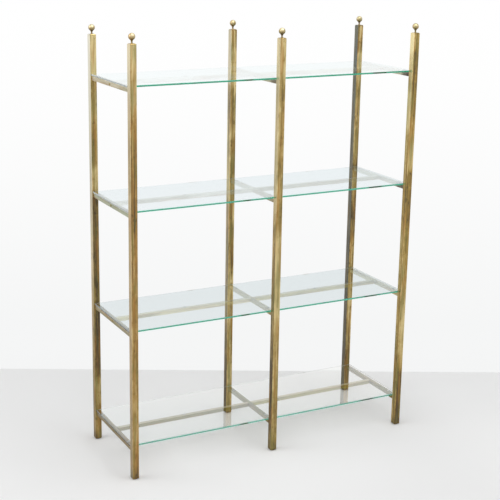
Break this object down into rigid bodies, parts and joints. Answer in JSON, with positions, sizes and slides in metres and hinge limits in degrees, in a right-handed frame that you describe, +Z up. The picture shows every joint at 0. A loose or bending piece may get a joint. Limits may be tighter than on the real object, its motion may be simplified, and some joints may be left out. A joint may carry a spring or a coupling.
{
  "type": "etagere",
  "caption": "Open etagere: square brass posts with ball finials, slim rails front to back and along the middle, and loose clear glass shelf sheets.",
  "frame": {"origin": "on the floor, at the middle of the plan", "axes": "+X to the right as seen from the front, +Y from the front to the rear, +Z up"},
  "size_m": [1.17, 0.404, 1.612],
  "materials": {
    "tube_brass": "aged satin brass with a brown patina",
    "cast_brass": "aged satin brass",
    "turned_brass": "rubbed bright brass",
    "screw_brass": "dull brass",
    "glass": "clear float glass with green polished edges",
    "clear_pad": "clear soft bumper",
    "glide_nylon": "dark nylon"
  },
  "bodies": {
    "frame": {"cap_front_centre": "cast_brass", "cap_front_left": "cast_brass", "cap_front_right": "cast_brass", "cap_rear_centre": "cast_brass", "cap_rear_left": "cast_brass", "cap_rear_right": "cast_brass", "centre_studs": "screw_brass", "cross_rail_centre_bottom": "tube_brass", "cross_rail_centre_lower": "tube_brass", "cross_rail_centre_top": "tube_brass", "cross_rail_centre_upper": "tube_brass", "cross_rail_left_bottom": "tube_brass", "cross_rail_left_lower": "tube_brass", "cross_rail_left_top": "tube_brass", "cross_rail_left_upper": "tube_brass", "cross_rail_right_bottom": "tube_brass", "cross_rail_right_lower": "tube_brass", "cross_rail_right_top": "tube_brass", "cross_rail_right_upper": "tube_brass", "end_screws": "screw_brass", "finial_front_centre": "turned_brass", "finial_front_left": "turned_brass", "finial_front_right": "turned_brass", "finial_rear_centre": "turned_brass", "finial_rear_left": "turned_brass", "finial_rear_right": "turned_brass", "foot_front_centre": "cast_brass", "foot_front_left": "cast_brass", "foot_front_right": "cast_brass", "foot_rear_centre": "cast_brass", "foot_rear_left": "cast_brass", "foot_rear_right": "cast_brass", "glides": "glide_nylon", "long_rail_left_bottom": "tube_brass", "long_rail_left_lower": "tube_brass", "long_rail_left_top": "tube_brass", "long_rail_left_upper": "tube_brass", "long_rail_right_bottom": "tube_brass", "long_rail_right_lower": "tube_brass", "long_rail_right_top": "tube_brass", "long_rail_right_upper": "tube_brass", "pads_bottom": "clear_pad", "pads_lower": "clear_pad", "pads_top": "clear_pad", "pads_upper": "clear_pad", "post_front_centre": "tube_brass", "post_front_left": "tube_brass", "post_front_right": "tube_brass", "post_rear_centre": "tube_brass", "post_rear_left": "tube_brass", "post_rear_right": "tube_brass", "rail_plugs": "screw_brass"},
    "sheet_bottom": {"glass_bottom": "glass"},
    "sheet_lower": {"glass_lower": "glass"},
    "sheet_upper": {"glass_upper": "glass"},
    "sheet_top": {"glass_top": "glass"}
  },
  "joints": [
    {"name": "slide_bottom", "type": "slide", "parent": "frame", "child": "sheet_bottom", "axis": [1, 0, 0], "range_m": [-1.2, 1.2]},
    {"name": "slide_lower", "type": "slide", "parent": "frame", "child": "sheet_lower", "axis": [1, 0, 0], "range_m": [-1.2, 1.2]},
    {"name": "slide_upper", "type": "slide", "parent": "frame", "child": "sheet_upper", "axis": [1, 0, 0], "range_m": [-1.2, 1.2]},
    {"name": "slide_top", "type": "slide", "parent": "frame", "child": "sheet_top", "axis": [1, 0, 0], "range_m": [-1.2, 1.2]}
  ]
}
